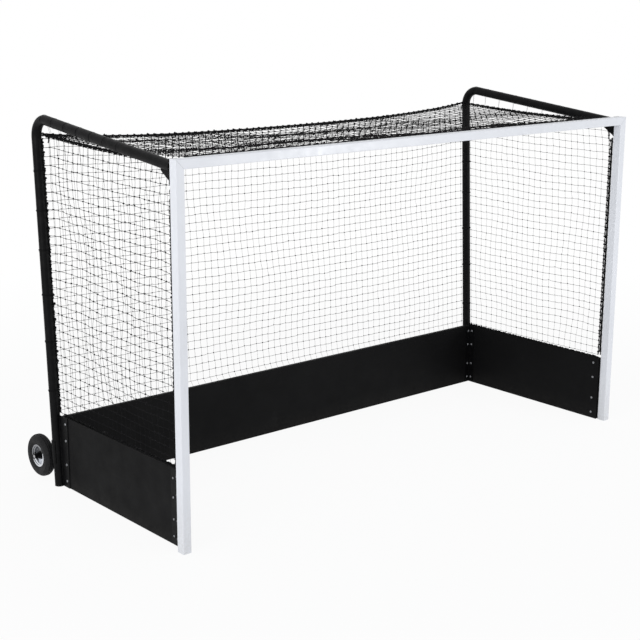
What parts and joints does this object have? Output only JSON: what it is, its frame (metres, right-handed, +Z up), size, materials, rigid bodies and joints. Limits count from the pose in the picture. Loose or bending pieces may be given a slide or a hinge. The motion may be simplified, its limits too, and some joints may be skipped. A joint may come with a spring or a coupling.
{
  "type": "field hockey goal",
  "caption": "Free-standing field-hockey goal with a white front frame, bent rear tubes, side and back boards, knotted netting and transport wheels.",
  "frame": {"origin": "on the ground, at the middle of the overall box, wheels included", "axes": "+X across the mouth towards the right post as a player sees it from the pitch, +Y from the mouth to the back of the goal, +Z up"},
  "size_m": [3.8598, 1.711, 2.3188],
  "materials": {
    "frame_white": "white powder coat",
    "joiner_aluminium": "plain",
    "cap_white": "moulded",
    "cap_black": "moulded",
    "tube_black": "black powder coat",
    "angle_grey": "dark powder coat",
    "board_grey": "smooth dark grey",
    "fixing_steel": "zinc plated",
    "tyre_rubber": "ribbed rubber",
    "rim_steel": "plated",
    "hub_black": "black",
    "net_rod_black": "black powder coat",
    "rope_black": "laid synthetic rope",
    "net_black": "knotted twine"
  },
  "bodies": {
    "goal": {"left_post": "frame_white", "right_post": "frame_white", "crossbar": "frame_white", "left_corner_joiner": "joiner_aluminium", "right_corner_joiner": "joiner_aluminium", "corner_screws": "fixing_steel", "post_foot_caps": "cap_white", "left_side_tube": "tube_black", "right_side_tube": "tube_black", "leg_foot_caps": "cap_black", "left_top_bracket": "tube_black", "right_top_bracket": "tube_black", "bracket_bolts": "fixing_steel", "left_front_angle": "tube_black", "right_front_angle": "tube_black", "front_angle_screws": "fixing_steel", "left_side_board": "board_grey", "right_side_board": "board_grey", "back_board": "board_grey", "front_board_bolts": "fixing_steel", "left_corner_angle": "angle_grey", "right_corner_angle": "angle_grey", "left_leg_plate": "tube_black", "right_leg_plate": "tube_black", "corner_bolts": "fixing_steel", "back_board_bolts": "fixing_steel", "left_wheel_bracket": "tube_black", "right_wheel_bracket": "tube_black", "left_axle": "fixing_steel", "right_axle": "fixing_steel", "axle_nuts": "hub_black", "axle_spacers": "fixing_steel", "left_post_net_rod": "net_rod_black", "right_post_net_rod": "net_rod_black", "crossbar_net_rod": "net_rod_black", "rope_eyes": "net_rod_black", "left_head_rope": "rope_black", "right_head_rope": "rope_black", "rear_head_rope": "rope_black", "leg_border_ropes": "rope_black", "board_border_ropes": "rope_black", "net_cleats": "fixing_steel", "left_side_net": "net_black", "right_side_net": "net_black", "back_net": "net_black", "top_net": "net_black"},
    "left_wheel": {"left_tyre": "tyre_rubber", "left_rim_outer": "rim_steel", "left_rim_inner": "rim_steel", "left_rim_bolts": "fixing_steel", "left_hub": "hub_black", "left_bearings": "fixing_steel"},
    "right_wheel": {"right_tyre": "tyre_rubber", "right_rim_outer": "rim_steel", "right_rim_inner": "rim_steel", "right_rim_bolts": "fixing_steel", "right_hub": "hub_black", "right_bearings": "fixing_steel"}
  },
  "joints": [
    {"name": "left_wheel_spin", "type": "hinge", "parent": "goal", "child": "left_wheel", "pos_m": [-1.8776, 0.71954, 0.156], "axis": [1, 0, 0], "continuous": true},
    {"name": "right_wheel_spin", "type": "hinge", "parent": "goal", "child": "right_wheel", "pos_m": [1.8776, 0.71954, 0.156], "axis": [1, 0, 0], "continuous": true}
  ]
}
